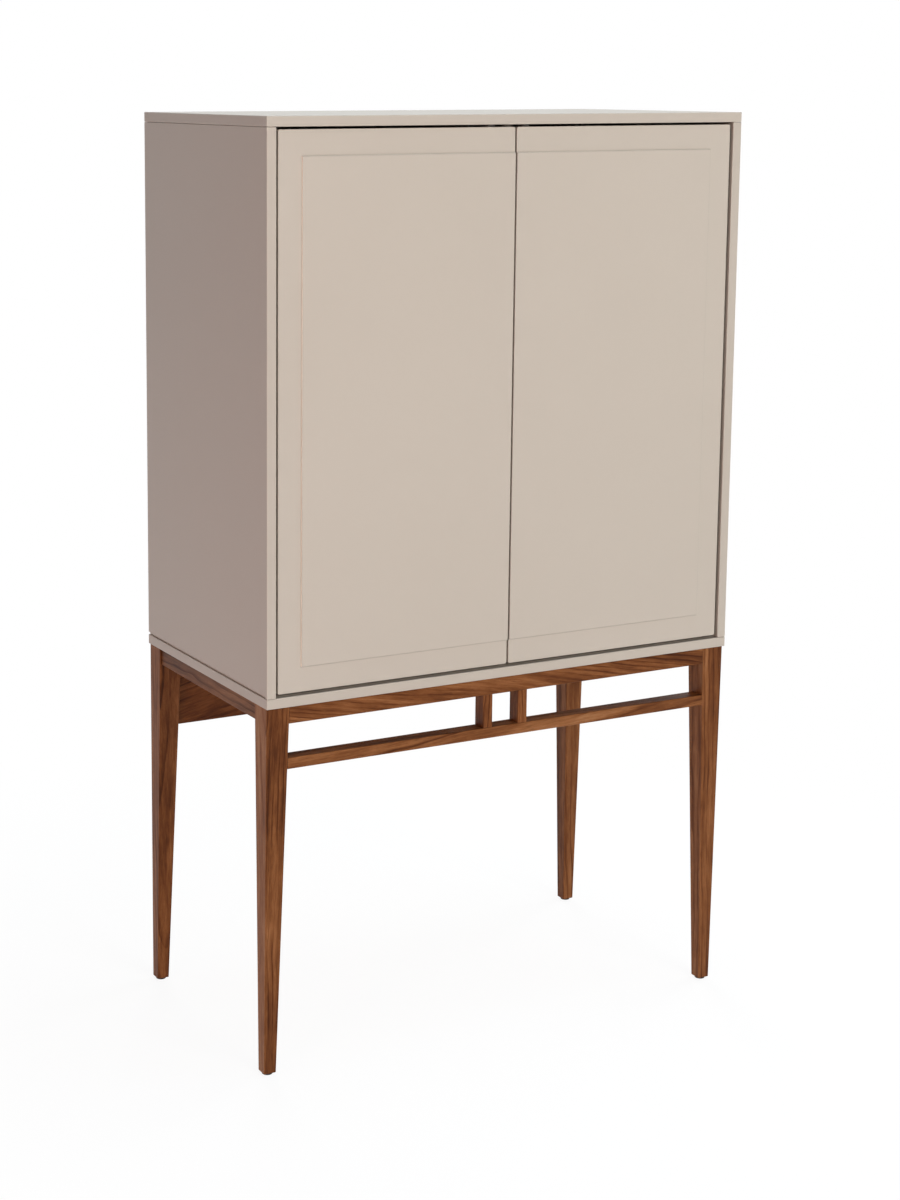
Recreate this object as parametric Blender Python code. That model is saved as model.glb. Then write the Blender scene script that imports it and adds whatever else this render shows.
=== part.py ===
"""Tall two-door cabinet: a lacquered box with inset handle-less doors on a walnut stand.

The model stands on the floor at z = 0, centred on x = 0 and y = 0.
The front faces -Y, +X is the right-hand side and all lengths are metres.
"""
import bmesh
import bpy
from math import radians
from mathutils import Matrix, Vector

# Clearances shared by the whole piece
SEAT_GAP = 0.0003           # between two faces that touch when assembled
CUT_OVERRUN = 0.004         # how far a cutter runs past the face it opens

# Overall sizes
WIDTH = 0.870
DEPTH = 0.455
STAND_HEIGHT = 0.600        # floor to the underside of the box
BOX_HEIGHT = 0.900
BOARD = 0.016               # top, bottom, sides and divider
BOARD_EDGE = 0.0010         # eased edge of the lacquered boards

# Joints between the boards
TONGUE_THICKNESS = 0.006
TONGUE_DEPTH = 0.008
TONGUE_STOP = 0.026         # tongues end this far from the front and back faces
REVEAL_HEIGHT = 0.0032      # shadow groove under each side panel
REVEAL_DEPTH = 0.0022
REVEAL_STOP = 0.006         # the groove ends this far behind the front face
BACK_THICKNESS = 0.006
BACK_INSET = 0.010          # back panel behind the rear faces of the boards
BACK_GROOVE = 0.006         # depth of the groove that holds the back panel

# Doors
DOOR_THICKNESS = 0.022
FIELD_SETBACK = 0.0007      # raised field behind the front faces of the boards
FIELD_RISE = 0.0027         # field in front of the milled border
BORDER_WIDTH = 0.0395
DOOR_SIDE_GAP = 0.0044
DOOR_TOP_GAP = 0.0040
DOOR_BOTTOM_GAP = 0.0050
DOOR_CENTRE_GAP = 0.0031
DOOR_EDGE = 0.0008
DOOR_CORNER_RADIUS = 0.003
DOOR_CORNER_SEGMENTS = 4
DIVIDER_GAP = 0.0025        # rear face of the doors to the divider

# Shelves and their pins
SHELF_THICKNESS = 0.016
SHELF_SETBACK = 0.018       # rear face of the doors to the front edge of a shelf
SHELF_SIDE_GAP = 0.0010
SHELF_BACK_GAP = 0.0020
SHELF_HEIGHT_SHARES = (0.34, 0.67)   # undersides, as shares of the inner height
SHELF_PIN_SHARES = (0.12, 0.88)      # pin rows, as shares of the shelf's depth
SHELF_PIN_RADIUS = 0.0025
SHELF_PIN_BURY = 0.009
SHELF_PIN_REACH = 0.008
SHELF_PIN_SIDES = 12

# Concealed hinges, two on each door
HINGE_INSET = 0.095         # hinge centre from the end of the door
PIN_FROM_EDGE = 0.015       # hinge pin from the outer edge of the door
PIN_FROM_FACE = 0.010       # hinge pin behind the face of the border
PIN_RADIUS = 0.0018
PIN_LENGTH = 0.024
PIN_SIDES = 16
PIN_CLEARANCE = 0.0003
CUP_RADIUS = 0.0175
CUP_FROM_EDGE = 0.0040      # rim of the cup from the outer edge of the door
CUP_FLOOR = 0.0012
CUP_WALL = 0.0018
CUP_SIDES = 32
FLANGE_THICKNESS = 0.0012
FLANGE_HEIGHT = 0.056
FLANGE_WIDTH = 0.018
ARM_WIDTH = 0.012
ARM_THICKNESS = 0.0026
ARM_SIDE_CLEARANCE = 0.0010
ARM_REACH = 0.0165          # pin to the middle of the strip, towards the door's middle
ARM_RISE = 0.0205           # pin to the middle of the strip, into the box
ARM_RUN = 0.046             # strip lying on the mounting plate
EYE_WALL = 0.0012
EYE_CLEARANCE = 0.0004
PLATE_THICKNESS = 0.0052
PLATE_LENGTH = 0.040
PLATE_WIDTH = 0.016
PLATE_WING_LENGTH = 0.012
PLATE_WING_HEIGHT = 0.046
PLATE_START = 0.003         # plate behind the middle of the arm's cross strip
PLATE_EDGE = 0.0006

# Push latches under the top board
LATCH_OFFSET = 0.031        # middle of the cabinet to the middle of a latch
LATCH_WIDTH = 0.013
LATCH_HEIGHT = 0.016
LATCH_LENGTH = 0.062
LATCH_EDGE = 0.0008
PLUNGER_RADIUS = 0.0038
PLUNGER_LENGTH = 0.046
PLUNGER_SIDES = 16
PLUNGER_BORE_SPARE = 0.004  # bore behind the plunger

# Walnut stand
LEG_SIDE_INSET = 0.0018
LEG_FRONT_INSET = 0.0045
LEG_BACK_INSET = 0.0030
LEG_WIDTH = 0.040
LEG_DEPTH = 0.042
FOOT_WIDTH = 0.021
FOOT_DEPTH = 0.021
FRONT_LEG_LEAN = 0.009      # front face of a front leg, top to foot
WOOD_EDGE = 0.0012
APRON_HEIGHT = 0.028
FRONT_APRON_THICKNESS = 0.027
SIDE_APRON_THICKNESS = 0.020
SIDE_APRON_RECESS = 0.003   # behind the outer faces of the legs
FRONT_APRON_RECESS = 0.0008
REAR_APRON_HEIGHT = 0.142
REAR_APRON_THICKNESS = 0.020
REAR_APRON_RECESS = 0.004
STRETCHER_HEIGHT = 0.018
STRETCHER_DROP = 0.083      # underside of the box to the top of the stretcher
STRETCHER_RECESS = 0.0024   # behind the front faces of the legs at the top
SPINDLE_WIDTH = 0.0175
SPINDLE_OFFSET = 0.033      # middle of the cabinet to the middle of a spindle
TENON_LENGTH = 0.014
TENON_THICKNESS_SHARE = 0.4
TENON_HEIGHT_SHARE = 0.6
SPINDLE_TENON_LENGTH = 0.007

# Glides under the feet
GLIDE_HEIGHT = 0.003
GLIDE_RADIUS = 0.0085
GLIDE_STEM_RADIUS = 0.003
GLIDE_STEM_LENGTH = 0.012
GLIDE_SIDES = 20

# Planes worked out from the sizes above
HALF_WIDTH = WIDTH / 2
FRONT = -DEPTH / 2
BACK = DEPTH / 2
BOX_TOP = STAND_HEIGHT + BOX_HEIGHT
INNER_LOW = STAND_HEIGHT + BOARD
INNER_HIGH = BOX_TOP - BOARD
INNER_HALF = HALF_WIDTH - BOARD
BACK_FACE = BACK - BACK_INSET - BACK_THICKNESS
FIELD_FACE = FRONT + FIELD_SETBACK
BORDER_FACE = FIELD_FACE + FIELD_RISE
DOOR_REAR = FIELD_FACE + DOOR_THICKNESS
DOOR_OUTER = INNER_HALF - DOOR_SIDE_GAP
DOOR_INNER = DOOR_CENTRE_GAP / 2
DOOR_LOW = INNER_LOW + DOOR_BOTTOM_GAP
DOOR_HIGH = INNER_HIGH - DOOR_TOP_GAP
DIVIDER_FRONT = DOOR_REAR + DIVIDER_GAP
PIN_X = DOOR_OUTER - PIN_FROM_EDGE
PIN_Y = BORDER_FACE + PIN_FROM_FACE
HINGE_HEIGHTS = (("lower", DOOR_LOW + HINGE_INSET), ("upper", DOOR_HIGH - HINGE_INSET))
SIDES = (("left", -1), ("right", 1))


def clear_scene():
    for old in list(bpy.data.objects):
        bpy.data.objects.remove(old, do_unlink=True)


def material(name, colour, roughness, metallic=0.0):
    made = bpy.data.materials.new(name)
    made.use_nodes = True
    shader = made.node_tree.nodes["Principled BSDF"]
    shader.inputs["Base Color"].default_value = (*colour, 1.0)
    shader.inputs["Roughness"].default_value = roughness
    shader.inputs["Metallic"].default_value = metallic
    made.diffuse_color = (*colour, 1.0)
    return made


def anchor(name, place):
    """An empty that marks a joint's axis and carries what turns on it."""
    empty = bpy.data.objects.new(name, None)
    empty.location = place
    bpy.context.scene.collection.objects.link(empty)
    return empty


def add_object(name, shape, finish, parent=None, smooth=False):
    """Turn a bmesh in world coordinates into an object with its origin at its middle."""
    corners = [vert.co for vert in shape.verts]
    low = Vector(min(co[axis] for co in corners) for axis in range(3))
    high = Vector(max(co[axis] for co in corners) for axis in range(3))
    middle = (low + high) / 2
    bmesh.ops.translate(shape, verts=shape.verts, vec=-middle)
    bmesh.ops.recalc_face_normals(shape, faces=shape.faces)
    mesh = bpy.data.meshes.new(name)
    shape.to_mesh(mesh)
    shape.free()
    if smooth:
        mesh.shade_smooth()
        mesh.set_sharp_from_angle(angle=radians(35))
    made = bpy.data.objects.new(name, mesh)
    bpy.context.scene.collection.objects.link(made)
    made.parent = parent
    made.location = middle - (parent.location if parent else Vector((0, 0, 0)))
    if finish:
        mesh.materials.append(finish)
    return made


def block_shape(low_z, low_rect, high_z, high_rect):
    """A closed block between two level rectangles, each given as (x0, x1, y0, y1)."""
    shape = bmesh.new()
    rings = []
    for z, (x0, x1, y0, y1) in ((low_z, low_rect), (high_z, high_rect)):
        rings.append([shape.verts.new(co) for co in ((x0, y0, z), (x1, y0, z), (x1, y1, z), (x0, y1, z))])
    shape.faces.new(reversed(rings[0]))
    shape.faces.new(rings[1])
    for index in range(4):
        after = (index + 1) % 4
        shape.faces.new((rings[0][index], rings[0][after], rings[1][after], rings[1][index]))
    return shape


def tapered_block(name, finish, low_z, low_rect, high_z, high_rect, parent=None):
    return add_object(name, block_shape(low_z, low_rect, high_z, high_rect), finish, parent)


def block(name, finish, x_span, y_span, z_span, parent=None):
    """A box given by its spans; each span may be written in either order."""
    x0, x1 = sorted(x_span)
    y0, y1 = sorted(y_span)
    z0, z1 = sorted(z_span)
    rect = (x0, x1, y0, y1)
    return tapered_block(name, finish, z0, rect, z1, rect, parent)


def slab(name, finish, x_span, y_span, z_span, radius, segments, parent=None):
    """An upright slab that faces the front, with its four corners rounded."""
    x0, x1 = sorted(x_span)
    rect = (x0, x1, *y_span)
    shape = block_shape(z_span[0], rect, z_span[1], rect)
    corners = [edge for edge in shape.edges if edge.verts[0].co.xz == edge.verts[1].co.xz]
    bmesh.ops.bevel(shape, geom=corners, offset=radius, segments=segments, profile=0.5, affect="EDGES",
                    material=-1)
    return add_object(name, shape, finish, parent)


def rod(name, finish, start, end, radius, sides, parent=None):
    """A round bar from one point to another."""
    start = Vector(start)
    end = Vector(end)
    along = end - start
    shape = bmesh.new()
    bmesh.ops.create_cone(shape, cap_ends=True, segments=sides, radius1=radius, radius2=radius,
                          depth=along.length)
    turn = Vector((0, 0, 1)).rotation_difference(along).to_matrix().to_4x4()
    bmesh.ops.transform(shape, matrix=Matrix.Translation((start + end) / 2) @ turn, verts=shape.verts)
    return add_object(name, shape, finish, parent, smooth=True)


def strip(name, finish, path, thickness, z_span, parent=None):
    """A flat strip of metal bent along a level path of square corners."""
    points = [Vector(point) for point in path]
    left = []
    right = []
    for index, point in enumerate(points):
        before = (point - points[index - 1]).normalized() if index else None
        after = (points[index + 1] - point).normalized() if index < len(points) - 1 else None
        normals = [Vector((-way.y, way.x)) for way in (before, after) if way is not None]
        offset = sum(normals, Vector((0, 0))) * (thickness / 2)
        left.append(point + offset)
        right.append(point - offset)
    shape = bmesh.new()
    ring = [shape.verts.new((point.x, point.y, z_span[0])) for point in left + right[::-1]]
    face = shape.faces.new(ring)
    grown = bmesh.ops.extrude_face_region(shape, geom=[face])
    raised = [item for item in grown["geom"] if isinstance(item, bmesh.types.BMVert)]
    bmesh.ops.translate(shape, verts=raised, vec=(0, 0, z_span[1] - z_span[0]))
    return add_object(name, shape, finish, parent)


def hide_tool(tool):
    tool.hide_render = True
    tool.display_type = "WIRE"


def combine(target, tool, operation):
    hide_tool(tool)
    step = target.modifiers.new(tool.name, "BOOLEAN")
    step.operation = operation
    step.object = tool


def cut(target, *tools):
    for tool in tools:
        combine(target, tool, "DIFFERENCE")


def join(target, *tools):
    for tool in tools:
        combine(target, tool, "UNION")


def ease(target, width, segments=2):
    """Round the outer edges before any joint is cut."""
    step = target.modifiers.new("eased_edges", "BEVEL")
    step.width = width
    step.segments = segments
    step.limit_method = "ANGLE"
    step.angle_limit = radians(30)


def mirrored(side, span):
    """A span of x on the given side of the cabinet, written for the right-hand side."""
    return tuple(side * x for x in span)


def build_horizontal_board(name, low, inner, into, finish):
    """Top or bottom board, with housings for the uprights and a groove for the back.

    They are cut into the face at height inner; into is 1 where they go up and -1 where they go down.
    """
    board = block(name, finish, (-HALF_WIDTH, HALF_WIDTH), (FRONT, BACK), (low, low + BOARD))
    ease(board, BOARD_EDGE)
    half = TONGUE_THICKNESS / 2 + SEAT_GAP
    start = FRONT + TONGUE_STOP - SEAT_GAP
    end = BACK - TONGUE_STOP + SEAT_GAP
    mouth = inner - into * CUT_OVERRUN
    housing_z = (mouth, inner + into * TONGUE_DEPTH)
    for label, side in SIDES:
        middle = side * (HALF_WIDTH - BOARD / 2)
        cut(board, block(f"cut_{name}_{label}_housing", None, (middle - half, middle + half), (start, end),
                         housing_z))
    cut(board, block(f"cut_{name}_divider_housing", None, (-half, half),
                     (DIVIDER_FRONT + TONGUE_STOP - SEAT_GAP, BACK_FACE - TONGUE_STOP + SEAT_GAP),
                     housing_z))
    reach = INNER_HALF + BACK_GROOVE
    cut(board, block(f"cut_{name}_back_groove", None, (-reach, reach),
                     (BACK_FACE - SEAT_GAP, BACK_FACE + BACK_THICKNESS + SEAT_GAP),
                     (mouth, inner + into * BACK_GROOVE)))


def build_upright(name, x_span, front, back, tongue_front, tongue_back, finish):
    """A standing board with a stopped tongue at its foot and at its head."""
    low = INNER_LOW + SEAT_GAP
    high = INNER_HIGH - SEAT_GAP
    upright = block(name, finish, x_span, (front, back), (low, high))
    ease(upright, BOARD_EDGE)
    middle = sum(x_span) / 2
    half = TONGUE_THICKNESS / 2
    rises = TONGUE_DEPTH - SEAT_GAP
    for label, z_span in (("low", (low + TONGUE_DEPTH, INNER_LOW - rises)),
                          ("high", (high - TONGUE_DEPTH, INNER_HIGH + rises))):
        join(upright, block(f"join_{name}_{label}_tongue", None, (middle - half, middle + half),
                            (tongue_front, tongue_back), z_span))
    return upright


def shelf_lines():
    """Front and back of a shelf and the rows of pins that carry it."""
    front = DOOR_REAR + SHELF_SETBACK
    back = BACK_FACE - SHELF_BACK_GAP
    rows = [front + share * (back - front) for share in SHELF_PIN_SHARES]
    return front, back, rows


def shelf_levels():
    inner = INNER_HIGH - INNER_LOW
    return [INNER_LOW + share * inner for share in SHELF_HEIGHT_SHARES]


def build_carcass(lacquer, backing):
    build_horizontal_board("bottom_board", STAND_HEIGHT, INNER_LOW, -1, lacquer)
    build_horizontal_board("top_board", INNER_HIGH, INNER_HIGH, 1, lacquer)

    _, _, rows = shelf_lines()
    hole = SHELF_PIN_RADIUS + SEAT_GAP
    pin_z = [level - SEAT_GAP - SHELF_PIN_RADIUS for level in shelf_levels()]
    for label, side in SIDES:
        panel = build_upright(f"{label}_side_panel", mirrored(side, (INNER_HALF, HALF_WIDTH)), FRONT, BACK,
                              FRONT + TONGUE_STOP, BACK - TONGUE_STOP, lacquer)
        cut(panel, block(f"cut_{label}_reveal", None,
                         mirrored(side, (HALF_WIDTH - REVEAL_DEPTH, HALF_WIDTH + CUT_OVERRUN)),
                         (FRONT + REVEAL_STOP, BACK + CUT_OVERRUN),
                         (INNER_LOW - CUT_OVERRUN, INNER_LOW + REVEAL_HEIGHT)))
        cut(panel, block(f"cut_{label}_back_groove", None,
                         mirrored(side, (INNER_HALF - CUT_OVERRUN, INNER_HALF + BACK_GROOVE)),
                         (BACK_FACE - SEAT_GAP, BACK_FACE + BACK_THICKNESS + SEAT_GAP),
                         (INNER_LOW - CUT_OVERRUN, INNER_HIGH + CUT_OVERRUN)))
        for level, z in enumerate(pin_z):
            for row, y in enumerate(rows):
                start = (side * (INNER_HALF - CUT_OVERRUN), y, z)
                end = (side * (INNER_HALF + SHELF_PIN_BURY + SEAT_GAP), y, z)
                cut(panel, rod(f"cut_{label}_pin_{level}_{row}", None, start, end, hole, SHELF_PIN_SIDES))

    divider = build_upright("centre_divider", (-BOARD / 2, BOARD / 2), DIVIDER_FRONT, BACK_FACE - SEAT_GAP,
                            DIVIDER_FRONT + TONGUE_STOP, BACK_FACE - TONGUE_STOP, lacquer)
    for level, z in enumerate(pin_z):
        for row, y in enumerate(rows):
            reach = BOARD / 2 + CUT_OVERRUN
            cut(divider, rod(f"cut_divider_pin_{level}_{row}", None, (-reach, y, z), (reach, y, z), hole,
                             SHELF_PIN_SIDES))

    reach = BACK_GROOVE - SEAT_GAP
    block("back_panel", backing, (-INNER_HALF - reach, INNER_HALF + reach),
          (BACK_FACE, BACK_FACE + BACK_THICKNESS), (INNER_LOW - reach, INNER_HIGH + reach))


def build_shelves(lacquer, steel):
    front, back, rows = shelf_lines()
    levels = shelf_levels()
    names = ("lower", "upper")
    inner = BOARD / 2 + SHELF_SIDE_GAP
    outer = INNER_HALF - SHELF_SIDE_GAP
    for label, side in SIDES:
        for name, level in zip(names, levels):
            shelf = block(f"{label}_{name}_shelf", lacquer, mirrored(side, (inner, outer)), (front, back),
                          (level, level + SHELF_THICKNESS))
            ease(shelf, BOARD_EDGE)
    reach = BOARD / 2 + SHELF_PIN_REACH
    runs = (("left", -INNER_HALF - SHELF_PIN_BURY, -INNER_HALF + SHELF_PIN_REACH),
            ("middle", -reach, reach),
            ("right", INNER_HALF - SHELF_PIN_REACH, INNER_HALF + SHELF_PIN_BURY))
    for name, level in zip(names, levels):
        z = level - SEAT_GAP - SHELF_PIN_RADIUS
        for place, y in zip(("front", "back"), rows):
            for run, start, end in runs:
                rod(f"shelf_pin_{run}_{name}_{place}", steel, (start, y, z), (end, y, z), SHELF_PIN_RADIUS,
                    SHELF_PIN_SIDES)


def build_door(label, side, axis, lacquer):
    """A slab whose border is milled back on three sides, so that the field stands proud."""
    door = slab(f"{label}_door", lacquer, mirrored(side, (DOOR_INNER, DOOR_OUTER)), (FIELD_FACE, DOOR_REAR),
                (DOOR_LOW, DOOR_HIGH), DOOR_CORNER_RADIUS, DOOR_CORNER_SEGMENTS, axis)
    y_span = (FIELD_FACE - CUT_OVERRUN, BORDER_FACE)
    wide = mirrored(side, (DOOR_INNER - CUT_OVERRUN, DOOR_OUTER + CUT_OVERRUN))
    cut(door,
        block(f"cut_{label}_border_top", None, wide, y_span,
              (DOOR_HIGH - BORDER_WIDTH, DOOR_HIGH + CUT_OVERRUN), axis),
        block(f"cut_{label}_border_bottom", None, wide, y_span,
              (DOOR_LOW - CUT_OVERRUN, DOOR_LOW + BORDER_WIDTH), axis),
        block(f"cut_{label}_border_side", None,
              mirrored(side, (DOOR_OUTER - BORDER_WIDTH, DOOR_OUTER + CUT_OVERRUN)), y_span,
              (DOOR_LOW - CUT_OVERRUN, DOOR_HIGH + CUT_OVERRUN), axis))
    ease(door, DOOR_EDGE)
    x = side * (DOOR_OUTER - CUP_FROM_EDGE - CUP_RADIUS)
    for place, z in HINGE_HEIGHTS:
        cut(door, rod(f"cut_{label}_{place}_cup_bore", None, (x, cup_floor_y() - SEAT_GAP, z),
                      (x, DOOR_REAR + CUT_OVERRUN, z), CUP_RADIUS + SEAT_GAP, CUP_SIDES, axis))
    return door


def eye_radius():
    return PIN_RADIUS + PIN_CLEARANCE + EYE_WALL


def cup_floor_y():
    """Outer face of the cup's floor, just in front of the eye that turns in it."""
    return PIN_Y - eye_radius() - EYE_CLEARANCE - CUP_FLOOR


def build_hinge(label, side, place, z, axis, zinc, steel):
    """Cup and pin on the door, bent arm and mounting plate on the side panel."""
    name = f"{label}_{place}_hinge"
    cup_x = DOOR_OUTER - CUP_FROM_EDGE - CUP_RADIUS
    flange_y = (DOOR_REAR + SEAT_GAP, DOOR_REAR + SEAT_GAP + FLANGE_THICKNESS)
    cup = rod(f"{name}_cup", zinc, (side * cup_x, cup_floor_y(), z), (side * cup_x, flange_y[1], z),
              CUP_RADIUS, CUP_SIDES, axis)
    join(cup, block(f"join_{name}_flange", None,
                    mirrored(side, (cup_x - FLANGE_WIDTH / 2, cup_x + FLANGE_WIDTH / 2)), flange_y,
                    (z - FLANGE_HEIGHT / 2, z + FLANGE_HEIGHT / 2), axis))
    slot_half = ARM_WIDTH / 2 + ARM_SIDE_CLEARANCE
    slot_reach = (CUP_RADIUS ** 2 - slot_half ** 2) ** 0.5 - CUP_WALL
    cut(cup, block(f"cut_{name}_slot", None, mirrored(side, (cup_x - slot_reach, cup_x + slot_reach)),
                   (cup_floor_y() + CUP_FLOOR, flange_y[1] + CUT_OVERRUN), (z - slot_half, z + slot_half), axis))
    hole = PIN_LENGTH / 2 + SEAT_GAP
    cut(cup, rod(f"cut_{name}_pin_hole", None, (side * PIN_X, PIN_Y, z - hole), (side * PIN_X, PIN_Y, z + hole),
                 PIN_RADIUS + PIN_CLEARANCE, PIN_SIDES, axis))
    rod(f"{name}_pin", steel, (side * PIN_X, PIN_Y, z - PIN_LENGTH / 2), (side * PIN_X, PIN_Y, z + PIN_LENGTH / 2),
        PIN_RADIUS, PIN_SIDES, axis)

    z_span = (z - ARM_WIDTH / 2, z + ARM_WIDTH / 2)
    run_x = INNER_HALF - SEAT_GAP - PLATE_THICKNESS - SEAT_GAP - ARM_THICKNESS / 2
    cross_y = PIN_Y + ARM_RISE
    path = [(side * x, y) for x, y in ((PIN_X, PIN_Y), (PIN_X - ARM_REACH, PIN_Y), (PIN_X - ARM_REACH, cross_y),
                                       (run_x, cross_y), (run_x, cross_y + ARM_RUN))]
    arm = strip(f"{name}_arm", steel, path, ARM_THICKNESS, z_span)
    join(arm, rod(f"join_{name}_eye", None, (side * PIN_X, PIN_Y, z_span[0]), (side * PIN_X, PIN_Y, z_span[1]),
                  eye_radius(), PIN_SIDES))
    cut(arm, rod(f"cut_{name}_eye", None, (side * PIN_X, PIN_Y, z_span[0] - CUT_OVERRUN),
                 (side * PIN_X, PIN_Y, z_span[1] + CUT_OVERRUN), PIN_RADIUS + PIN_CLEARANCE, PIN_SIDES))

    plate_x = mirrored(side, (INNER_HALF - SEAT_GAP - PLATE_THICKNESS, INNER_HALF - SEAT_GAP))
    wing_x = mirrored(side, (INNER_HALF - SEAT_GAP - PLATE_THICKNESS / 2, INNER_HALF - SEAT_GAP))
    start = cross_y + PLATE_START
    plate = block(f"{name}_plate", zinc, plate_x, (start, start + PLATE_LENGTH),
                  (z - PLATE_WIDTH / 2, z + PLATE_WIDTH / 2))
    ease(plate, PLATE_EDGE, 1)
    middle = start + PLATE_LENGTH / 2
    join(plate, block(f"join_{name}_wing", None, wing_x,
                      (middle - PLATE_WING_LENGTH / 2, middle + PLATE_WING_LENGTH / 2),
                      (z - PLATE_WING_HEIGHT / 2, z + PLATE_WING_HEIGHT / 2)))


def build_latch(label, side, housing_finish, plunger_finish):
    """A sprung plunger in a housing under the top board, its tip on the door's rear face."""
    x = side * LATCH_OFFSET
    high = INNER_HIGH - SEAT_GAP
    z = high - LATCH_HEIGHT / 2
    housing = block(f"{label}_latch_housing", housing_finish, (x - LATCH_WIDTH / 2, x + LATCH_WIDTH / 2),
                    (DIVIDER_FRONT, DIVIDER_FRONT + LATCH_LENGTH), (high - LATCH_HEIGHT, high))
    ease(housing, LATCH_EDGE)
    tip = DOOR_REAR + SEAT_GAP
    end = tip + PLUNGER_LENGTH
    cut(housing, rod(f"cut_{label}_latch_bore", None, (x, DIVIDER_FRONT - CUT_OVERRUN, z),
                     (x, end + PLUNGER_BORE_SPARE, z), PLUNGER_RADIUS + SEAT_GAP, PLUNGER_SIDES))
    slide = anchor(f"{label}_plunger_axis", (x, tip, z))
    rod(f"{label}_latch_plunger", plunger_finish, (x, tip, z), (x, end, z), PLUNGER_RADIUS, PLUNGER_SIDES, slide)


def leg_faces(end, z):
    """Distances of a leg's four faces at a height: inner and outer x, and its y span."""
    share = (STAND_HEIGHT - SEAT_GAP - z) / (STAND_HEIGHT - SEAT_GAP - GLIDE_HEIGHT)
    outer = HALF_WIDTH - LEG_SIDE_INSET
    inner = outer - LEG_WIDTH + share * (LEG_WIDTH - FOOT_WIDTH)
    narrowing = share * (LEG_DEPTH - FOOT_DEPTH)
    if end == "front":
        face = FRONT + LEG_FRONT_INSET
        lean = share * FRONT_LEG_LEAN
        return inner, outer, face + lean, face + LEG_DEPTH - narrowing + lean
    face = BACK - LEG_BACK_INSET
    return inner, outer, face - LEG_DEPTH + narrowing, face


def build_leg(label, side, end, wood):
    rects = []
    for z in (GLIDE_HEIGHT, STAND_HEIGHT - SEAT_GAP):
        inner, outer, y0, y1 = leg_faces(end, z)
        x0, x1 = sorted(mirrored(side, (inner, outer)))
        rects.append((z, (x0, x1, y0, y1)))
    leg = tapered_block(f"{end}_{label}_leg", wood, *rects[0], *rects[1])
    ease(leg, WOOD_EDGE)
    return leg


def tenon_span(low, high, share):
    """The middle share of a span, which is the tenon's size across a rail."""
    middle = (low + high) / 2
    half = (high - low) / 2 * share
    return middle - half, middle + half


def widened(span, amount):
    return min(span) - amount, max(span) + amount


def build_cross_rail(name, wood, legs, end, y_span, z_span):
    """A rail along x whose ends lie on the sloping inner faces of two legs."""
    low, high = z_span
    rect_low = (-leg_faces(end, low)[0] + SEAT_GAP, leg_faces(end, low)[0] - SEAT_GAP, *y_span)
    rect_high = (-leg_faces(end, high)[0] + SEAT_GAP, leg_faces(end, high)[0] - SEAT_GAP, *y_span)
    rail = tapered_block(name, wood, low, rect_low, high, rect_high)
    ease(rail, WOOD_EDGE)
    tenon_y = tenon_span(*y_span, TENON_THICKNESS_SHARE)
    tenon_z = tenon_span(*z_span, TENON_HEIGHT_SHARE)
    root = leg_faces(end, low)[0] - TENON_LENGTH
    tip = leg_faces(end, high)[0] + TENON_LENGTH
    for label, side in SIDES:
        join(rail, block(f"join_{name}_{label}_tenon", None, mirrored(side, (root, tip)), tenon_y, tenon_z))
        cut(legs[label], block(f"cut_{name}_{label}_mortise", None,
                               mirrored(side, (root, tip + SEAT_GAP)), widened(tenon_y, SEAT_GAP),
                               widened(tenon_z, SEAT_GAP)))
    return rail


def build_side_rail(label, side, wood, front_leg, rear_leg):
    """A side apron between the rear face of the front leg and the front face of the rear leg."""
    name = f"{label}_apron"
    high = STAND_HEIGHT - SEAT_GAP
    low = STAND_HEIGHT - APRON_HEIGHT
    outer = leg_faces("front", high)[1] - SIDE_APRON_RECESS
    x_span = tuple(sorted(mirrored(side, (outer - SIDE_APRON_THICKNESS, outer))))
    rects = []
    for z in (low, high):
        rects.append((z, (*x_span, leg_faces("front", z)[3] + SEAT_GAP, leg_faces("rear", z)[2] - SEAT_GAP)))
    rail = tapered_block(name, wood, *rects[0], *rects[1])
    ease(rail, WOOD_EDGE)
    tenon_x = tenon_span(*x_span, TENON_THICKNESS_SHARE)
    tenon_z = tenon_span(low, high, TENON_HEIGHT_SHARE)
    front_face = leg_faces("front", high)[3]
    rear_face = leg_faces("rear", high)[2]
    for end, leg, root, tip in (("front", front_leg, front_face + TENON_LENGTH, front_face - TENON_LENGTH),
                                ("rear", rear_leg, rear_face - TENON_LENGTH, rear_face + TENON_LENGTH)):
        join(rail, block(f"join_{name}_{end}_tenon", None, tenon_x, (root, tip), tenon_z))
        reach = tip + (SEAT_GAP if tip > root else -SEAT_GAP)
        cut(leg, block(f"cut_{name}_{end}_mortise", None, widened(tenon_x, SEAT_GAP), (root, reach),
                       widened(tenon_z, SEAT_GAP)))


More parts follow.
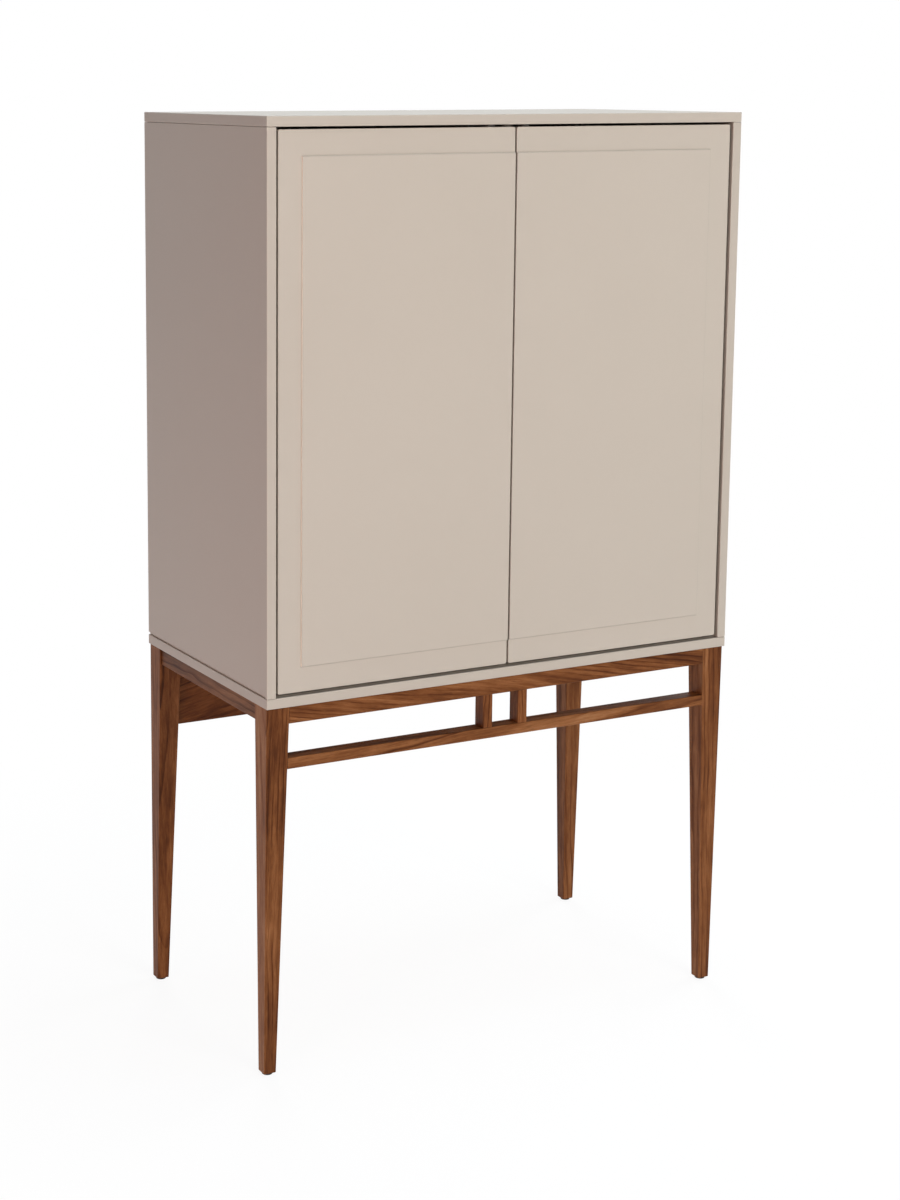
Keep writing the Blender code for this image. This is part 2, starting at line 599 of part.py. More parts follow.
def build_stand(wood, glide_plastic):
    legs = {}
    for end in ("front", "rear"):
        legs[end] = {label: build_leg(label, side, end, wood) for label, side in SIDES}
    high = STAND_HEIGHT - SEAT_GAP
    front_face = FRONT + LEG_FRONT_INSET + FRONT_APRON_RECESS
    apron_low = STAND_HEIGHT - APRON_HEIGHT
    apron_y = (front_face, front_face + FRONT_APRON_THICKNESS)
    apron = build_cross_rail("front_apron", wood, legs["front"], "front", apron_y, (apron_low, high))
    rear_face = BACK - LEG_BACK_INSET - REAR_APRON_RECESS
    build_cross_rail("rear_apron", wood, legs["rear"], "rear", (rear_face - REAR_APRON_THICKNESS, rear_face),
                     (STAND_HEIGHT - REAR_APRON_HEIGHT, high))
    stretcher_high = STAND_HEIGHT - STRETCHER_DROP
    stretcher_face = FRONT + LEG_FRONT_INSET + STRETCHER_RECESS
    stretcher_y = (stretcher_face, stretcher_face + FRONT_APRON_THICKNESS)
    stretcher = build_cross_rail("front_stretcher", wood, legs["front"], "front", stretcher_y,
                                 (stretcher_high - STRETCHER_HEIGHT, stretcher_high))
    for label, side in SIDES:
        build_side_rail(label, side, wood, legs["front"][label], legs["rear"][label])
        build_spindle(label, side, wood, apron, apron_low, stretcher, stretcher_high,
                      (stretcher_face, apron_y[1]))
    build_glides(legs, glide_plastic)


def build_spindle(label, side, wood, apron, apron_low, stretcher, stretcher_high, y_span):
    name = f"{label}_spindle"
    x_span = (side * SPINDLE_OFFSET - SPINDLE_WIDTH / 2, side * SPINDLE_OFFSET + SPINDLE_WIDTH / 2)
    low = stretcher_high + SEAT_GAP
    high = apron_low - SEAT_GAP
    spindle = block(name, wood, x_span, y_span, (low, high))
    ease(spindle, WOOD_EDGE)
    tenon_x = tenon_span(*x_span, TENON_HEIGHT_SHARE)
    tenon_y = tenon_span(*y_span, TENON_THICKNESS_SHARE)
    middle = (low + high) / 2
    for end, rail, tip, reach in (("top", apron, high + SPINDLE_TENON_LENGTH, SEAT_GAP),
                                  ("foot", stretcher, low - SPINDLE_TENON_LENGTH, -SEAT_GAP)):
        join(spindle, block(f"join_{name}_{end}_tenon", None, tenon_x, tenon_y, (middle, tip)))
        cut(rail, block(f"cut_{name}_{end}_mortise", None, widened(tenon_x, SEAT_GAP),
                        widened(tenon_y, SEAT_GAP), (middle, tip + reach)))


def build_glides(legs, plastic):
    """Round plastic glides, each with a stem pressed up into the foot."""
    for end in ("front", "rear"):
        for label, side in SIDES:
            inner, outer, y0, y1 = leg_faces(end, GLIDE_HEIGHT)
            x = side * (inner + outer) / 2
            y = (y0 + y1) / 2
            top = GLIDE_HEIGHT - SEAT_GAP
            tip = GLIDE_HEIGHT + GLIDE_STEM_LENGTH
            glide = rod(f"{end}_{label}_glide", plastic, (x, y, 0), (x, y, top), GLIDE_RADIUS, GLIDE_SIDES)
            join(glide, rod(f"join_{end}_{label}_stem", None, (x, y, top / 2), (x, y, tip), GLIDE_STEM_RADIUS,
                            GLIDE_SIDES))
            cut(legs[end][label], rod(f"cut_{end}_{label}_stem_hole", None, (x, y, GLIDE_HEIGHT - CUT_OVERRUN),
                                      (x, y, tip + SEAT_GAP), GLIDE_STEM_RADIUS + SEAT_GAP, GLIDE_SIDES))


def build_cabinet():
    clear_scene()
    lacquer = material("taupe_lacquer", (0.60, 0.53, 0.45), 0.42)
    backing = material("backing_board", (0.52, 0.46, 0.39), 0.55)
    walnut = material("walnut", (0.20, 0.085, 0.038), 0.45)
    steel = material("nickelled_steel", (0.62, 0.61, 0.59), 0.28, 1.0)
    zinc = material("cast_zinc", (0.55, 0.55, 0.54), 0.38, 1.0)
    grey = material("grey_plastic", (0.58, 0.58, 0.56), 0.45)
    white = material("plunger_plastic", (0.72, 0.72, 0.70), 0.4)
    dark = material("dark_plastic", (0.035, 0.028, 0.024), 0.6)

    build_stand(walnut, dark)
    build_carcass(lacquer, backing)
    build_shelves(lacquer, steel)
    for label, side in SIDES:
        middle = (DOOR_LOW + DOOR_HIGH) / 2
        axis = anchor(f"{label}_door_axis", (side * PIN_X, PIN_Y, middle))
        build_door(label, side, axis, lacquer)
        for place, z in HINGE_HEIGHTS:
            build_hinge(label, side, place, z, axis, zinc, steel)
        build_latch(label, side, grey, white)


build_cabinet()
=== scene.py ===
"""Looks of the tall two-door cabinet: lacquered box, walnut stand, fittings, light and camera.

Lengths are metres. The front faces -Y, +X is the right-hand side and the floor is at z = 0.
"""
from math import radians

import bmesh
import bpy
from mathutils import Euler, Matrix, Vector


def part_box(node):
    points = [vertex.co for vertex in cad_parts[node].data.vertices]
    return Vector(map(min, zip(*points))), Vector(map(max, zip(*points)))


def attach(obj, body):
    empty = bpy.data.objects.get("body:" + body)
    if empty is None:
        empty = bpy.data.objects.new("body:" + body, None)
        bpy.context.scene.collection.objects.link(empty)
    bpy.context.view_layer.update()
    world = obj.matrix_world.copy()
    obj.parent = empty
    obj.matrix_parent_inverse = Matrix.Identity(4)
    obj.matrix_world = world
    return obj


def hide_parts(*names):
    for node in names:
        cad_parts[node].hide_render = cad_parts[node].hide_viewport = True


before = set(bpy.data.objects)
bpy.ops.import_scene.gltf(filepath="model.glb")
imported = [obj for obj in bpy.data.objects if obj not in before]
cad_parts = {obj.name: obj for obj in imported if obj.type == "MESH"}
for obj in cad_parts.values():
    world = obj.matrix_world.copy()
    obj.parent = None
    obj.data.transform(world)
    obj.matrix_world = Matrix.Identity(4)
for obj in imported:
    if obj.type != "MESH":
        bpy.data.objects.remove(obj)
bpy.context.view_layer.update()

SIDES = (("left", -1), ("right", 1))
ENDS = ("lower", "upper")
SEAT_GAP = 0.0003           # between two faces that touch when assembled
CUT_OVERRUN = 0.01          # how far a cutter runs past the face that it opens

# Rounding of the edges
LACQUER_EDGE = 0.0012
DOOR_EDGE = 0.0006
WOOD_EDGE = 0.0013
FITTING_EDGE = 0.0004

# Doors
BORDER_WIDTH = 0.0395
FIELD_RISE = 0.0027
DOOR_CORNER = 0.003

# Groove under each side panel
GROOVE_HEIGHT = 0.0042
GROOVE_DEPTH = 0.0030
GROOVE_STOP = 0.006

# Painted shade along the fields and on the ledge under the doors, and a painted highlight on the fields' side
# walls
PAINTED_SHADE_COLOUR = (0.19, 0.17, 0.145, 1.0)
FIELD_WALL_HIGHLIGHT = (0.81, 0.72, 0.61, 1.0)
LINE_SHADE = 0.20
LEDGE_SHADE = 0.7

# Stand
FOOT = 0.021
FRONT_LEG_LEAN = 0.009
GLIDE_EDGE = 0.0007
GLIDE_STEM = 0.003

# Hinges: how far the screws and the faces lie from the middle or the front of what they are in
CUP_RADIUS = 0.0175
CUP_BORE_SPARE = 0.0002
CUP_WALL = 0.0018
CUP_FLOOR = 0.0012
CUP_SCREW_REACH = 0.0228
CUP_SCREW_RADIUS = 0.0030
FLANGE_HALF = 0.009
FLANGE_THICKNESS = 0.0012
FLANGE_CORNER = 0.005
SLOT_HALF = 0.007
SLOT_CORNER = 0.0015
PIN_RADIUS = 0.0018
PLATE_SCREW_REACH = 0.0155
PLATE_SCREW_RADIUS = 0.0034
ARM_FACE = 0.0029
ARM_SCREWS = (0.011, 0.030)
ARM_SCREW_RADIUS = 0.0036

# Shelf pins
PEG_RADIUS = 0.0025
PEG_EDGE = 0.0007
PEG_COLLAR = 0.0037
PEG_COLLAR_DEPTH = 0.0007
PEG_COLLAR_GAP = 0.00005

# Push latches
LATCH_SCREW_FRONT = 0.014
LATCH_SCREW_BACK = 0.009
LATCH_SCREW_RADIUS = 0.0028
TIP_LENGTH = 0.0016
TIP_SHARE = 0.92


# Shader nodes

def node(tree, kind, inputs=None, **settings):
    """Adds a node; an input that is given a socket is linked to it."""
    made = tree.nodes.new(kind)
    for key, value in settings.items():
        setattr(made, key, value)
    for key, value in (inputs or {}).items():
        plug(tree, made.inputs[key], value)
    return made


def plug(tree, socket, value):
    if isinstance(value, bpy.types.NodeSocket):
        tree.links.new(value, socket)
    else:
        socket.default_value = value


def maths(tree, operation, *values, clamp=False):
    made = node(tree, "ShaderNodeMath", operation=operation, use_clamp=clamp)
    for socket, value in zip(made.inputs, values):
        plug(tree, socket, value)
    return made.outputs[0]


def vector_maths(tree, operation, *values, output=0):
    made = node(tree, "ShaderNodeVectorMath", operation=operation)
    for socket, value in zip(made.inputs, values):
        plug(tree, socket, value)
    return made.outputs[output]


def spread(tree, value, low, high, to_low=0.0, to_high=1.0):
    """Maps a span of values smoothly onto another one and stops at its ends."""
    made = node(tree, "ShaderNodeMapRange", {"Value": value, "From Min": low, "From Max": high,
                                             "To Min": to_low, "To Max": to_high},
                interpolation_type="SMOOTHSTEP")
    return made.outputs["Result"]


def noise(tree, vector, scale, detail=2.0, roughness=0.5):
    made = node(tree, "ShaderNodeTexNoise", {"Vector": vector, "Scale": scale, "Detail": detail,
                                             "Roughness": roughness})
    return made.outputs["Fac"]


def stretched(tree, vector, across, along):
    """Squeezes a pattern so that it runs long down the vector's Z."""
    return vector_maths(tree, "MULTIPLY", vector, (across, across, along))


def wave_about(tree, vector, size):
    """A soft swing to and fro, up to half the size each way."""
    field = node(tree, "ShaderNodeTexNoise", {"Vector": vector, "Scale": 1.0, "Detail": 1.0,
                                              "Roughness": 0.4})
    centred = vector_maths(tree, "SUBTRACT", field.outputs["Color"], (0.5, 0.5, 0.5))
    scaled = node(tree, "ShaderNodeVectorMath", {0: centred}, operation="SCALE")
    plug(tree, scaled.inputs["Scale"], maths(tree, "MULTIPLY", size, 2.0))
    return scaled.outputs[0]


def blended(tree, amount, first, second, way="MIX"):
    made = node(tree, "ShaderNodeMix", data_type="RGBA", blend_type=way)
    plug(tree, made.inputs["Factor"], amount)
    plug(tree, made.inputs[6], first)
    plug(tree, made.inputs[7], second)
    return made.outputs[2]


def colour_ramp(tree, amount, stops):
    made = node(tree, "ShaderNodeValToRGB", {"Fac": amount})
    elements = made.color_ramp.elements
    while len(elements) < len(stops):
        elements.new(0.5)
    for element, (place, colour) in zip(elements, stops):
        element.position = place
        element.color = (*colour, 1.0)
    return made.outputs["Color"]


def white_view(tree):
    """Mask of the rays that see a plain white ground: the camera's, and those of gloss and glass."""
    path = node(tree, "ShaderNodeLightPath").outputs
    return maths(tree, "MAXIMUM", path["Is Camera Ray"],
                 maths(tree, "MAXIMUM", path["Is Glossy Ray"], path["Is Transmission Ray"]))


def new_group(name, inputs, outputs):
    """Starts a shader node group and returns it with its input and output sockets."""
    group = bpy.data.node_groups.new(name, "ShaderNodeTree")
    for label, kind, value in inputs:
        socket = group.interface.new_socket(name=label, in_out="INPUT", socket_type=f"NodeSocket{kind}")
        if value is not None:
            socket.default_value = value
    for label, kind in outputs:
        group.interface.new_socket(name=label, in_out="OUTPUT", socket_type=f"NodeSocket{kind}")
    return group, group.nodes.new("NodeGroupInput").outputs, group.nodes.new("NodeGroupOutput").inputs


def use_group(tree, group, **inputs):
    made = node(tree, "ShaderNodeGroup", node_tree=group)
    for key, value in inputs.items():
        plug(tree, made.inputs[key.replace("_", " ")], value)
    return made.outputs


def edge_mask_group():
    """Mask that is white along edges and breaks up along their length, for worn edges, and on the lacquers for
    a painted highlight as well.
    """
    group, given, out = new_group("edge_mask", (("Vector", "Vector", None), ("Width", "Float", 0.0015),
                                               ("Patches", "Float", 60.0)), (("Mask", "Float"),))
    rounded = node(group, "ShaderNodeBevel", {"Radius": given["Width"]}, samples=6)
    surface = node(group, "ShaderNodeNewGeometry")
    facing = vector_maths(group, "DOT_PRODUCT", rounded.outputs[0], surface.outputs["Normal"], output=1)
    turned = spread(group, facing, 0.995, 0.90)
    patches = spread(group, noise(group, given["Vector"], given["Patches"], 3.0), 0.35, 0.7, 0.35, 1.0)
    plug(group, out["Mask"], maths(group, "MULTIPLY", turned, patches, clamp=True))
    return group


def film_group():
    """Sprayed or moulded skin: slow drift of tone, a fine peel and finer grain."""
    group, given, out = new_group("skin", (("Vector", "Vector", None), ("Drift", "Float", 2.0),
                                           ("Peel", "Float", 320.0), ("Grain", "Float", 1600.0)),
                                  (("Tone", "Float"), ("Sheen", "Float"), ("Height", "Float")))
    slow = noise(group, given["Vector"], given["Drift"], 3.0)
    peel = noise(group, given["Vector"], given["Peel"], 2.0)
    grain = noise(group, given["Vector"], given["Grain"], 2.0, 0.6)
    plug(group, out["Tone"], maths(group, "ADD", maths(group, "MULTIPLY", slow, 0.75),
                                   maths(group, "MULTIPLY", grain, 0.25)))
    plug(group, out["Sheen"], maths(group, "ADD", maths(group, "MULTIPLY", slow, 0.5),
                                    maths(group, "MULTIPLY", peel, 0.5)))
    plug(group, out["Height"], maths(group, "ADD", maths(group, "MULTIPLY", peel, 0.7),
                                     maths(group, "MULTIPLY", grain, 0.3)))
    return group


def walnut_group():
    """Growth rings, streaks, flecks and pores of walnut, its grain along the vector's Z, with painted light and
    shade on faces that point left and on faces that point up.
    """
    group, given, out = new_group("walnut_figure", (("Vector", "Vector", None), ("Ring", "Float", 0.0065),
                                                    ("Wander", "Float", 0.012), ("Warmth", "Float", 0.5),
                                                    ("Light", "Float", 0.0), ("Left", "Float", 0.0),
                                                    ("Upper", "Float", 0.0)),
                                  (("Color", "Color"), ("Sheen", "Float"), ("Height", "Float")))
    place = given["Vector"]
    swing = wave_about(group, stretched(group, place, 7.0, 2.2), given["Wander"])
    quiver = wave_about(group, stretched(group, place, 34.0, 13.0), 0.0030)
    grown = vector_maths(group, "ADD", vector_maths(group, "ADD", place, swing), quiver)
    reach = vector_maths(group, "LENGTH", vector_maths(group, "MULTIPLY", grown, (1.0, 1.0, 0.0)), output=1)
    slow = noise(group, stretched(group, place, 24.0, 1.8), 1.0, 2.0)
    count = maths(group, "ADD", maths(group, "DIVIDE", reach, given["Ring"]),
                  maths(group, "MULTIPLY", slow, 2.0))
    ring = maths(group, "FRACT", count)
    uneven = spread(group, noise(group, stretched(group, place, 44.0, 6.0), 1.0, 3.0), 0.36, 0.66)
    late = maths(group, "MULTIPLY", spread(group, ring, 0.52, 0.95), spread(group, ring, 1.0, 0.96))
    lines = maths(group, "MULTIPLY", late, maths(group, "MULTIPLY_ADD", uneven, 0.85, 0.15))
    broad = noise(group, stretched(group, grown, 46.0, 3.0), 1.0, 3.0, 0.5)
    streak = noise(group, stretched(group, grown, 170.0, 9.0), 1.0, 4.0, 0.6)
    fibre = noise(group, stretched(group, place, 520.0, 26.0), 1.0, 4.0, 0.7)
    cloud = noise(group, stretched(group, place, 60.0, 22.0), 1.0, 3.0, 0.6)
    pores = spread(group, noise(group, stretched(group, place, 1500.0, 70.0), 1.0, 2.0, 0.5), 0.57, 0.68)
    tone = maths(group, "MULTIPLY_ADD", broad, 0.84, -0.05)
    tone = maths(group, "ADD", tone, maths(group, "MULTIPLY_ADD", streak, 0.44, -0.22))
    tone = maths(group, "ADD", tone, maths(group, "MULTIPLY_ADD", fibre, 0.60, -0.30))
    tone = maths(group, "ADD", tone, maths(group, "MULTIPLY_ADD", cloud, 0.30, -0.15))
    tone = maths(group, "SUBTRACT", tone, maths(group, "MULTIPLY_ADD", lines, 0.28, -0.03))
    # The piece's paleness, plus painted light and shade on the faces that point left and up
    tone = maths(group, "ADD", tone, maths(group, "MULTIPLY", paleness_and_painted_light(group, given), 0.26))
    wood = colour_ramp(group, tone, ((0.04, (0.056, 0.0155, 0.0036)), (0.22, (0.110, 0.0345, 0.0090)),
                                     (0.40, (0.183, 0.0650, 0.0190)), (0.58, (0.266, 0.1080, 0.0375)),
                                     (0.82, (0.390, 0.1950, 0.0850))))
    warm = blended(group, given["Warmth"], (0.90, 1.0, 1.10, 1.0), (1.08, 0.95, 0.90, 1.0))
    tinted = blended(group, 1.0, wood, warm, "MULTIPLY")
    open_pores = maths(group, "MULTIPLY", pores, 0.30)
    plug(group, out["Color"], blended(group, open_pores, tinted, (0.030, 0.010, 0.004, 1.0)))
    plug(group, out["Sheen"], maths(group, "ADD", maths(group, "MULTIPLY", lines, 0.4),
                                    maths(group, "MULTIPLY", fibre, 0.6)))
    plug(group, out["Height"], maths(group, "SUBTRACT", maths(group, "MULTIPLY", fibre, 0.5), pores))
    return group


def paleness_and_painted_light(group, given):
    """How pale the wood is over the whole piece, with painted light and shade on its left and upper sides."""
    surface = node(group, "ShaderNodeNewGeometry")
    facing = node(group, "ShaderNodeSeparateXYZ", {0: surface.outputs["Normal"]}).outputs
    # Painted light and shade on faces that point left and on faces that point up
    left = maths(group, "MULTIPLY", spread(group, facing["X"], -0.9, -0.5, 1.0, 0.0), given["Left"])
    upper = maths(group, "MULTIPLY", spread(group, facing["Z"], 0.5, 0.9), given["Upper"])
    return maths(group, "ADD", given["Light"], maths(group, "ADD", left, upper))


def handling_group():
    """Fine scratches and faint smudges on metal."""
    group, given, out = new_group("handling", (("Vector", "Vector", None), ("Scratch", "Float", 900.0),
                                               ("Smudge", "Float", 70.0)),
                                  (("Marks", "Float"), ("Smudges", "Float")))
    turned = node(group, "ShaderNodeMapping", {"Vector": given["Vector"], "Rotation": (0.4, 0.9, 0.2),
                                               "Scale": (1.0, 0.06, 0.25)})
    scratches = noise(group, turned.outputs[0], given["Scratch"], 3.0, 0.65)
    plug(group, out["Marks"], spread(group, scratches, 0.35, 0.7))
    smudges = noise(group, given["Vector"], given["Smudge"], 4.0, 0.6)
    plug(group, out["Smudges"], spread(group, smudges, 0.35, 0.7))
    return group


EDGE_MASK = edge_mask_group()
SKIN = film_group()
WALNUT = walnut_group()
HANDLING = handling_group()


# Materials

def new_material(name):
    """Material with an empty Principled shader; returns it with its tree and shader."""
    made = bpy.data.materials.new(name)
    made.use_nodes = True
    tree = made.node_tree
    return made, tree, tree.nodes["Principled BSDF"]


def object_place(tree):
    return node(tree, "ShaderNodeTexCoord").outputs["Object"]


def bump(tree, shader, height, strength, distance):
    made = node(tree, "ShaderNodeBump", {"Height": height, "Strength": strength, "Distance": distance})
    plug(tree, shader.inputs["Normal"], made.outputs["Normal"])


def coated(name, colour, lighter, rubbed_and_highlit, rough, drift=2.0, peel=320.0, grain=1600.0, height=0.00006,
           edge_wear_and_highlight=0.35, shine=0.5, detail=None):
    """Lacquer, paint or moulded plastic: drift of tone, peel, grain, and lighter worn edges, on the lacquers
    partly a painted highlight.

    Detail is a function that adds more to the colour, such as painted shade and a painted highlight.
    """
    made, tree, shader = new_material(name)
    place = object_place(tree)
    skin = use_group(tree, SKIN, Vector=place, Drift=drift, Peel=peel, Grain=grain)
    edge_mask = use_group(tree, EDGE_MASK, Vector=place)["Mask"]
    tone = blended(tree, spread(tree, skin["Tone"], 0.3, 0.7), (*colour, 1.0), (*lighter, 1.0))
    # Lighter edges: worn, and on the lacquers also a painted highlight
    shade = blended(tree, maths(tree, "MULTIPLY", edge_mask, edge_wear_and_highlight), tone, (*rubbed_and_highlit, 1.0))
    if detail:
        shade = detail(tree, place, shade)
    plug(tree, shader.inputs["Base Color"], shade)
    sheen = spread(tree, skin["Sheen"], 0.3, 0.7, rough - 0.04, rough + 0.04)
    plug(tree, shader.inputs["Roughness"], maths(tree, "SUBTRACT", sheen, maths(tree, "MULTIPLY", edge_mask, 0.06)))
    shader.inputs["Specular IOR Level"].default_value = shine
    bump(tree, shader, skin["Height"], 0.35, height)
    return made


def field_step(tree, place, shade):
    """Painted shade in the crease beside the step of the raised field, and a painted highlight on its upright
    walls, on both doors.

    The doors mirror each other about x = 0, so one pattern serves both.
    """
    low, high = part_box("right_door")
    low_z, high_z, reach = low.z + BORDER_WIDTH, high.z - BORDER_WIDTH, high.x - BORDER_WIDTH
    spot = node(tree, "ShaderNodeSeparateXYZ", {0: place}).outputs
    beside = maths(tree, "SUBTRACT", maths(tree, "ABSOLUTE", spot["X"]), reach)
    above = maths(tree, "ABSOLUTE", maths(tree, "SUBTRACT", spot["Z"], (low_z + high_z) / 2))
    away = maths(tree, "ABSOLUTE", maths(tree, "MAXIMUM", beside,
                                         maths(tree, "SUBTRACT", above, (high_z - low_z) / 2)))
    front = spread(tree, spot["Y"], low.y + FIELD_RISE + 0.0015, low.y + FIELD_RISE + 0.0005)
    upright = spread(tree, maths(tree, "ABSOLUTE", beside), 0.0006, 0.0002)
    wall_highlight = maths(tree, "MULTIPLY", spread(tree, away, 0.0006, 0.0002), maths(tree, "MULTIPLY", upright, front))
    near = maths(tree, "MULTIPLY", spread(tree, away, 0.0020, 0.0009), maths(tree, "SUBTRACT", 1.0, wall_highlight))
    painted_shade_amount = spread(tree, noise(tree, place, 40.0, 3.0), 0.3, 0.7, LINE_SHADE * 0.7, LINE_SHADE)
    # Painted shade in the crease around the field, then a painted highlight on its upright walls
    painted_line_shade = blended(tree, maths(tree, "MULTIPLY", maths(tree, "MULTIPLY", near, front), painted_shade_amount), shade, PAINTED_SHADE_COLOUR)
    return blended(tree, wall_highlight, painted_line_shade, FIELD_WALL_HIGHLIGHT)


def painted_ledge_shade(tree, place, shade):
    """Painted shade on the ledge of the bottom board in front of the doors' feet, under the doors."""
    low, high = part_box("bottom_board")
    spot = node(tree, "ShaderNodeSeparateXYZ", {0: place}).outputs
    off_level = maths(tree, "ABSOLUTE", maths(tree, "SUBTRACT", spot["Z"], high.z))
    band = maths(tree, "MULTIPLY", spread(tree, spot["Y"], low.y + 0.0008, low.y + 0.0035),
                 spread(tree, spot["Y"], low.y + 0.012, low.y + 0.006))
    # Painted shade in a band just in front of the doors' feet
    painted_shade_amount = maths(tree, "MULTIPLY", spread(tree, off_level, 0.0005, 0.0001), band)
    return blended(tree, maths(tree, "MULTIPLY", painted_shade_amount, LEDGE_SHADE), shade, PAINTED_SHADE_COLOUR)


def metal(name, colour, rubbed_and_highlit, rough, scratch, grain, height):
    """Plated or cast metal with fine scratches, smudges and brighter edges."""
    made, tree, shader = new_material(name)
    place = object_place(tree)
    marks = use_group(tree, HANDLING, Vector=place, Scratch=scratch)
    edge_mask = use_group(tree, EDGE_MASK, Vector=place, Width=0.0006, Patches=240.0)["Mask"]
    worn = blended(tree, maths(tree, "MULTIPLY", marks["Smudges"], 0.25), (*colour, 1.0),
                   (*[part * 0.82 for part in colour], 1.0))
    plug(tree, shader.inputs["Base Color"], blended(tree, edge_mask, worn, (*rubbed_and_highlit, 1.0)))
    shader.inputs["Metallic"].default_value = 1.0
    scuffed = maths(tree, "ADD", maths(tree, "MULTIPLY", marks["Marks"], 0.07),
                    maths(tree, "MULTIPLY", marks["Smudges"], 0.06))
    plug(tree, shader.inputs["Roughness"], maths(tree, "ADD", scuffed, rough))
    pits = noise(tree, place, grain, 3.0, 0.6)
    bump(tree, shader, maths(tree, "ADD", pits, maths(tree, "MULTIPLY", marks["Marks"], 0.3)), 0.4, height)
    return made


def walnut(name, low, high, along, pith, tilt=(0.0, 0.0), ring=0.0065, wander=0.012, warmth=0.5, light=0.0,
           left=0.0, upper=0.0, start=1.0):
    """Oiled walnut for one piece: its grain runs along that axis and its pith lies off to one side.

    Light says how much lighter the whole piece is; left and upper are painted light and shade, saying how much
    lighter or darker those sides are drawn.
    Start says how far up the tree the middle of the piece was cut.
    """
    made, tree, shader = new_material(name)
    turn = {"x": (0.0, radians(-90), 0.0), "y": (radians(90), 0.0, 0.0), "z": (0.0, 0.0, 0.0)}[along]
    lean = (radians(tilt[0]), radians(tilt[1]), 0.0)
    whole = Euler(lean).to_matrix() @ Euler(turn).to_matrix()
    shift = Vector((*pith, start)) - whole @ ((low + high) / 2)
    place = object_place(tree)
    turned = node(tree, "ShaderNodeMapping", {"Vector": place, "Location": shift, "Rotation": whole.to_euler()})
    figure = use_group(tree, WALNUT, Vector=turned.outputs[0], Ring=ring, Wander=wander, Warmth=warmth,
                       Light=light, Left=left, Upper=upper)
    edge_mask = use_group(tree, EDGE_MASK, Vector=place, Width=0.0014, Patches=45.0)["Mask"]
    plug(tree, shader.inputs["Base Color"], blended(tree, maths(tree, "MULTIPLY", edge_mask, 0.22), figure["Color"],
                                                    (0.34, 0.17, 0.085, 1.0)))
    sheen = spread(tree, figure["Sheen"], 0.2, 0.8, 0.40, 0.52)
    plug(tree, shader.inputs["Roughness"], maths(tree, "SUBTRACT", sheen, maths(tree, "MULTIPLY", edge_mask, 0.05)))
    shader.inputs["Specular IOR Level"].default_value = 0.10
    bump(tree, shader, figure["Height"], 0.35, 0.00012)
    return made


# The lacquers' lighter edges are partly worn and partly a painted highlight; door_lacquer adds painted shade
# and a painted highlight at the field step, carcass_lacquer painted shade on the ledge
LACQUER = coated("door_lacquer", (0.508, 0.449, 0.383), (0.524, 0.465, 0.399), (0.66, 0.60, 0.53), 0.36,
                 edge_wear_and_highlight=0.30, detail=field_step)
CARCASS_LACQUER = coated("carcass_lacquer", (0.488, 0.430, 0.366), (0.504, 0.446, 0.382), (0.72, 0.63, 0.54),
                         0.36, edge_wear_and_highlight=0.60, detail=painted_ledge_shade)
BACKING = coated("backing_board", (0.47, 0.42, 0.36), (0.52, 0.465, 0.40), (0.56, 0.51, 0.45), 0.58, drift=3.0,
                 peel=500.0, grain=2200.0, height=0.00010, edge_wear_and_highlight=0.4, shine=0.35)
GREY_PLASTIC = coated("grey_plastic", (0.66, 0.65, 0.62), (0.70, 0.69, 0.66), (0.76, 0.75, 0.73), 0.44,
                      drift=20.0, peel=1400.0, grain=5200.0, height=0.00004)
PLUNGER_PLASTIC = coated("plunger_plastic", (0.66, 0.66, 0.64), (0.71, 0.71, 0.69), (0.78, 0.78, 0.77), 0.38,
                         drift=30.0, peel=1600.0, grain=6000.0, height=0.00003)
SOFT_TIP = coated("soft_tip", (0.30, 0.30, 0.295), (0.35, 0.35, 0.34), (0.42, 0.42, 0.41), 0.72, drift=40.0,
                  peel=2200.0, grain=7000.0, height=0.00008, shine=0.3)
DARK_PLASTIC = coated("dark_plastic", (0.022, 0.018, 0.016), (0.034, 0.028, 0.025), (0.085, 0.075, 0.068), 0.55,
                      drift=30.0, peel=1500.0, grain=5200.0, height=0.00008, edge_wear_and_highlight=0.6, shine=0.15)
STEEL = metal("nickelled_steel", (0.62, 0.61, 0.585), (0.74, 0.73, 0.71), 0.24, 900.0, 2600.0, 0.00003)
ZINC = metal("cast_zinc", (0.54, 0.54, 0.53), (0.68, 0.68, 0.67), 0.34, 500.0, 1500.0, 0.00008)


# Shapes

def block(low, high):
    shape = bmesh.new()
    bmesh.ops.create_cube(shape, size=1.0)
    bmesh.ops.scale(shape, vec=high - low, verts=shape.verts)
    bmesh.ops.translate(shape, vec=(low + high) / 2, verts=shape.verts)
    return shape


def tapered(z0, rect0, z1, rect1):
    """Block between two level rectangles, each given as (x0, x1, y0, y1)."""
    shape = bmesh.new()
    bmesh.ops.create_cube(shape, size=1.0)
    for corner in shape.verts:
        z, rect = (z1, rect1) if corner.co.z > 0 else (z0, rect0)
        corner.co = (rect[corner.co.x > 0], rect[2 + (corner.co.y > 0)], z)
    return shape


def rod(start, end, radius, segments=32, tip=None):
    """Round bar between two points; tip is its radius at the far end."""
    start, end = Vector(start), Vector(end)
    along = end - start
    shape = bmesh.new()
    bmesh.ops.create_cone(shape, cap_ends=True, segments=segments, radius1=radius,
                          radius2=radius if tip is None else tip, depth=along.length)
    turn = Vector((0, 0, 1)).rotation_difference(along).to_matrix().to_4x4()
    bmesh.ops.transform(shape, matrix=Matrix.Translation((start + end) / 2) @ turn, verts=shape.verts)
    return shape


